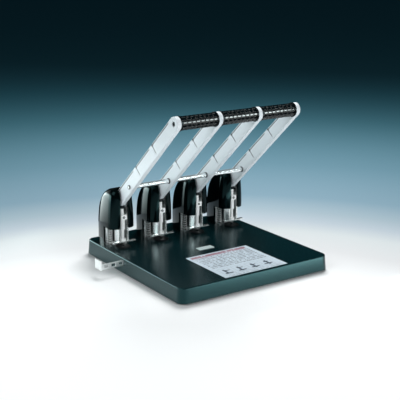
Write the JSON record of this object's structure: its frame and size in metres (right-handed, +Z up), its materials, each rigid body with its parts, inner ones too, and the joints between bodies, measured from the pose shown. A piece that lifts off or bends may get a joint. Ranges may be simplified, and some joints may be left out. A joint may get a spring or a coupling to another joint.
{
  "type": "heavy-duty paper punch",
  "caption": "Heavy-duty lever paper punch: black tray, row of hooded punch heads worked by levers joined by a gripped handle, and a pull-out paper guide.",
  "frame": {"origin": "on the table, in the middle of the overall footprint with the paper guide pulled out", "axes": "+X along the row of heads away from the paper guide, +Y to the back, +Z up"},
  "size_m": [0.3506, 0.3244, 0.2913],
  "materials": {
    "tray_black": "gloss black stove enamel on pressed steel",
    "hood_black": "high-gloss black enamel",
    "plated_steel": "bright nickel plate",
    "pin_steel": "ground and polished steel",
    "dark_steel": "black oxide",
    "spring_steel": "bright spring wire",
    "lever_silver": "satin silver enamel",
    "rod_chrome": "polished chrome",
    "grip_black": "moulded black grip",
    "cover_plastic": "moulded black plastic",
    "foot_rubber": "black rubber",
    "label_paper": "pale laminated label",
    "badge_silver": "brushed silver plate"
  },
  "bodies": {
    "root": {"base_tray": "tray_black", "chip_cover": "cover_plastic", "rubber_feet": "foot_rubber", "instruction_label": "label_paper", "badge_plate": "badge_silver", "guide_rail": "plated_steel", "guide_bushes": "pin_steel", "spring_posts": "plated_steel", "hinge_pins": "dark_steel", "hinge_spacers": "plated_steel", "frame_bolts": "dark_steel", "hood_screws": "dark_steel", "frame_1": "plated_steel", "hood_1": "hood_black", "die_1": "dark_steel", "return_springs_1": "spring_steel", "frame_2": "plated_steel", "hood_2": "hood_black", "die_2": "dark_steel", "return_springs_2": "spring_steel", "frame_3": "plated_steel", "hood_3": "hood_black", "die_3": "dark_steel", "return_springs_3": "spring_steel", "frame_4": "plated_steel", "hood_4": "hood_black", "die_4": "dark_steel", "return_springs_4": "spring_steel"},
    "lever_set": {"lever_1": "lever_silver", "lever_2": "lever_silver", "lever_3": "lever_silver", "lever_4": "lever_silver", "grip_1": "grip_black", "grip_2": "grip_black", "grip_3": "grip_black", "tie_rod_1": "rod_chrome", "tie_rod_2": "rod_chrome", "tie_rod_3": "rod_chrome", "handle_shaft": "rod_chrome", "handle_screws": "dark_steel", "grip_collars": "dark_steel", "tie_bolt": "rod_chrome", "tie_washers": "dark_steel"},
    "punch_1": {"punch_pin_1": "pin_steel", "crosshead_1": "plated_steel", "clamp_screw_1": "dark_steel", "press_cap_1": "dark_steel"},
    "punch_2": {"punch_pin_2": "pin_steel", "crosshead_2": "plated_steel", "clamp_screw_2": "dark_steel", "press_cap_2": "dark_steel"},
    "punch_3": {"punch_pin_3": "pin_steel", "crosshead_3": "plated_steel", "clamp_screw_3": "dark_steel", "press_cap_3": "dark_steel"},
    "punch_4": {"punch_pin_4": "pin_steel", "crosshead_4": "plated_steel", "clamp_screw_4": "dark_steel", "press_cap_4": "dark_steel"},
    "guide": {"paper_guide": "plated_steel"}
  },
  "joints": [
    {"name": "lever_swing", "type": "hinge", "parent": "root", "child": "lever_set", "pos_m": [0, 0.101, 0.1082], "axis": [1, 0, 0], "range_deg": [0, 36], "stiffness_Nm_per_rad": 1.2, "springref_deg": -108.86},
    {"name": "punch_1_stroke", "type": "slide", "parent": "root", "child": "punch_1", "axis": [0, 0, -1], "range_m": [0, 0.0165], "deforming": ["return_springs_1"]},
    {"name": "punch_2_stroke", "type": "slide", "parent": "root", "child": "punch_2", "axis": [0, 0, -1], "range_m": [0, 0.0165], "deforming": ["return_springs_2"]},
    {"name": "punch_3_stroke", "type": "slide", "parent": "root", "child": "punch_3", "axis": [0, 0, -1], "range_m": [0, 0.0165], "deforming": ["return_springs_3"]},
    {"name": "punch_4_stroke", "type": "slide", "parent": "root", "child": "punch_4", "axis": [0, 0, -1], "range_m": [0, 0.0165], "deforming": ["return_springs_4"]},
    {"name": "guide_slide", "type": "slide", "parent": "root", "child": "guide", "axis": [-1, 0, 0], "range_m": [-0.038, 0.05]}
  ],
  "couplings": [
    {"joint": "punch_1_stroke", "follows": "lever_swing", "m_per_rad": 0.0255},
    {"joint": "punch_2_stroke", "follows": "lever_swing", "m_per_rad": 0.0255},
    {"joint": "punch_3_stroke", "follows": "lever_swing", "m_per_rad": 0.0255},
    {"joint": "punch_4_stroke", "follows": "lever_swing", "m_per_rad": 0.0255}
  ]
}
